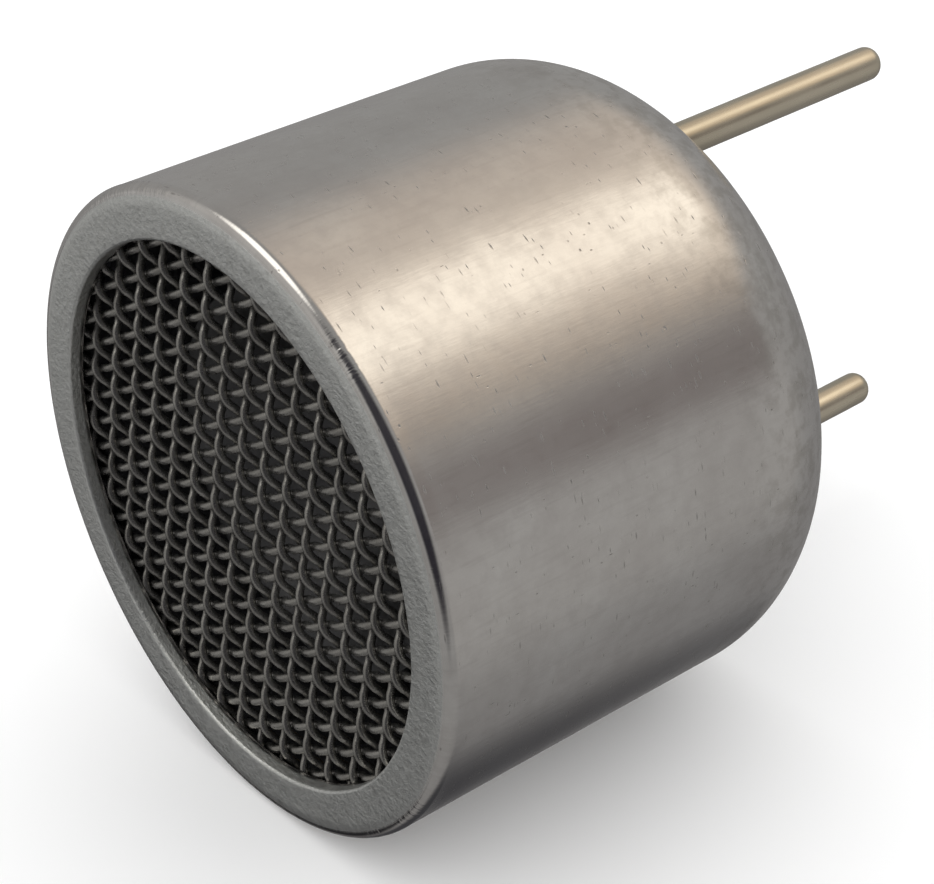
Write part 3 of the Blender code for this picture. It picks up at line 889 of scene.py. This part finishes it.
def leads():
    """Fine enamelled wires from the pins to the rear film and to the plate."""
    finish = lead_copper()
    slot = BASE_LOW.y + SLOT_DEPTH - LEAD_RADIUS - FIT
    pin_low = {side: node_box(name)[0].y for name, side in PIN_SIDES}
    foot = {side: low - FIT - SOLDER_HEIGHT - FIT for side, low in pin_low.items()}
    film = node_box("electrode_solder")
    plate = node_box("plate_solder")
    bow = 0.5
    routes = {
        "signal_lead": [
            (0, foot[1] + 0.1, PIN_OFFSET), (0, foot[1] - LEAD_RISE, PIN_OFFSET - LEAD_RISE),
            (0, slot - 0.25, RIDGE_INNER - 0.6), (0, film[1].y - 0.06, FILM_SPOT_Z),
        ],
        "ground_lead": [
            (0, foot[-1] + 0.1, -PIN_OFFSET), (bow, foot[-1] - LEAD_RISE, -PIN_OFFSET),
            (bow, plate[1].y + FIT + LEAD_RISE, PLATE_SPOT_Z), (0, plate[1].y - 0.06, PLATE_SPOT_Z),
        ],
    }
    for name, points in routes.items():
        shape = bmesh.new()
        tube_into(shape, bezier(points, 48), LEAD_RADIUS, 12)
        made = link(name + "_wire", shape, finish, 60)
        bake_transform(made)
        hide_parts(name)


def solder():
    """Solder at the ends of the leads: wetted feet, and a peak drawn up towards the wire."""
    finish = solder_metal()
    joints = (
        ("signal_pin_solder", "housing", -1), ("ground_pin_solder", "housing", -1),
        ("electrode_solder", "vibrator", 1), ("plate_solder", "vibrator", 1),
    )
    for name, body, way in joints:
        low, high = node_box(name)
        radius = (high.x - low.x) / 2
        foot, top = (high.y, low.y) if way < 0 else (low.y, high.y)
        outline = [(0.0, foot)]
        for step in range(14):
            t = step / 14
            lift = 1 - (1 - t) ** 1.6 if t < 0.5 else 1 - (1 - t) ** 1.9 * 0.8
            outline.append((radius * (1 - t) ** 0.75, foot + (top - foot) * min(1.0, lift)))
        outline.append((0.0, top))

        def wetted(r, y, turn, seed=len(name)):
            spot = Vector((math.cos(turn), seed, math.sin(turn)))
            return r * (1 - 0.12 * abs(wander(spot, 1.1, 17))), y

        middle = (low + high) / 2
        made = turned(name + "_blob", outline, finish, 48, (middle.x, middle.z), wetted, 60)
        stand_for(made, body, "solder", name)


def kept_nodes(plastic):
    """Finishes for the CAD pieces whose shape is already right."""
    silver = silver_film()
    finishes = {
        "spacer_sleeve": plastic,
        "vibrating_plate": plate_nickel(),
        "front_electrode": silver,
        "rear_electrode": silver,
        "piezo_disc": piezo_ceramic(),
        "case_contact": strip_bronze(),
    }
    for name, finish in finishes.items():
        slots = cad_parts[name].data.materials
        slots.clear()
        slots.append(finish)


def floor():
    mesh = bpy.data.meshes.new("floor")
    reach = 1500 * MM
    z = CASE_LOW.z * MM
    corners = [(-reach, -reach, z), (reach, -reach, z), (reach, reach, z), (-reach, reach, z)]
    mesh.from_pydata(corners, [], [(0, 1, 2, 3)])
    made = bpy.data.objects.new("floor", mesh)
    bpy.context.scene.collection.objects.link(made)
    f = Finish("pale_floor")
    paper = f.between(f.noise(0.02, 2.0), 0.3, 0.7)
    tone = f.mix(paper, (0.93, 0.93, 0.93), (0.95, 0.95, 0.95))
    mesh.materials.append(f.surface(base_color=tone, roughness=0.9))
    made.visible_glossy = False


class Studio(Nodes):
    """What the metal sees round it: a grey room with soft bright and dark patches."""

    def __init__(self):
        world = bpy.data.worlds.new("studio")
        bpy.context.scene.world = world
        world.use_nodes = True
        super().__init__(world.node_tree)
        self.tree.nodes.clear()
        self.way = self.node("ShaderNodeTexCoord").outputs["Generated"]

    def fade(self, value, low, high):
        """Goes softly from 0 at low to 1 at high."""
        made = self.node("ShaderNodeMapRange", interpolation_type="SMOOTHSTEP")
        self.join(value, made.inputs["Value"])
        made.inputs["From Min"].default_value = low
        made.inputs["From Max"].default_value = high
        return made.outputs["Result"]

    def towards(self, turn, rise):
        """Cosine of the angle to a direction: turn about Y from +X, rise towards +Y, in degrees."""
        turn, rise = math.radians(turn), math.radians(rise)
        made = self.node("ShaderNodeVectorMath", operation="DOT_PRODUCT")
        self.join(self.way, made.inputs[0])
        made.inputs[1].default_value = (
            math.cos(rise) * math.cos(turn),
            math.sin(rise),
            math.cos(rise) * math.sin(turn),
        )
        return made.outputs["Value"]

    def finish(self, room, white):
        """Metal reflects the room; everything else is lit by an even white dome."""
        out = self.node("ShaderNodeOutputWorld")
        choice = self.node("ShaderNodeMixShader")
        paths = self.node("ShaderNodeLightPath")
        dome = self.node("ShaderNodeBackground")
        self.feed(dome.inputs["Color"], (1.0, 1.0, 1.0))
        self.feed(dome.inputs["Strength"], white)
        seen = self.node("ShaderNodeBackground")
        self.join(room, seen.inputs["Color"])
        self.join(paths.outputs["Is Glossy Ray"], choice.inputs[0])
        self.join(dome.outputs[0], choice.inputs[1])
        self.join(seen.outputs[0], choice.inputs[2])
        self.join(choice.outputs[0], out.inputs[0])


# Soft patches in the room: turn and rise of the middle, where they are full and where they end
# (all in degrees), and their colour. Later ones lie over earlier ones.
PATCHES = (
    ((-120, 20), 30, 75, (0.235, 0.23, 0.228)),
    ((-18, 38), 10, 32, (0.37, 0.362, 0.35)),
    ((-103, 14), 10, 31, (0.05, 0.05, 0.055)),
    ((158, 42), 8, 30, (0.30, 0.298, 0.29)),
    ((94, 38), 5, 35, (0.62, 0.54, 0.46)),
    ((140, -48), 10, 45, (0.50, 0.49, 0.47)),
    ((-162, -37), 6, 24, (0.46, 0.455, 0.445)),
    ((-133, -16), 12, 23, (0.02, 0.02, 0.022)),
    ((25, -42), 28, 56, (0.025, 0.023, 0.03)),
    ((16, 36), 2, 15, (0.17, 0.145, 0.138)),
    ((45, 36), 3, 15, (0.39, 0.325, 0.26)),
    ((69, 40), 6, 26, (0.85, 0.73, 0.60)),
    ((72, 34), 4, 16, (1.40, 1.27, 1.08)),
    ((112, -24), 10, 26, (1.75, 1.72, 1.62)),
)
ROOM_LOW, ROOM_HIGH = (0.30, 0.296, 0.29), (0.325, 0.321, 0.312)
DOME_STRENGTH = 1.3


def lights():
    studio = Studio()
    height = studio.fade(studio.towards(90, 0), -0.6, 0.6)
    room = studio.mix(height, ROOM_LOW, ROOM_HIGH)
    for place, full, end, colour in PATCHES:
        way = studio.towards(*place)
        edge = studio.fade(way, math.cos(math.radians(end)), math.cos(math.radians(full)))
        room = studio.mix(edge, room, colour)
    studio.finish(room, DOME_STRENGTH)


can()
woven_screen()
pins(pin_plating())
black = black_plastic()
moulded_base(black)
resin(sealing_resin())
spun_cone()
glue_bead()
soft_ring()
leads()
solder()
kept_nodes(black)
floor()
lights()
bpy.context.scene.view_settings.view_transform = "Standard"
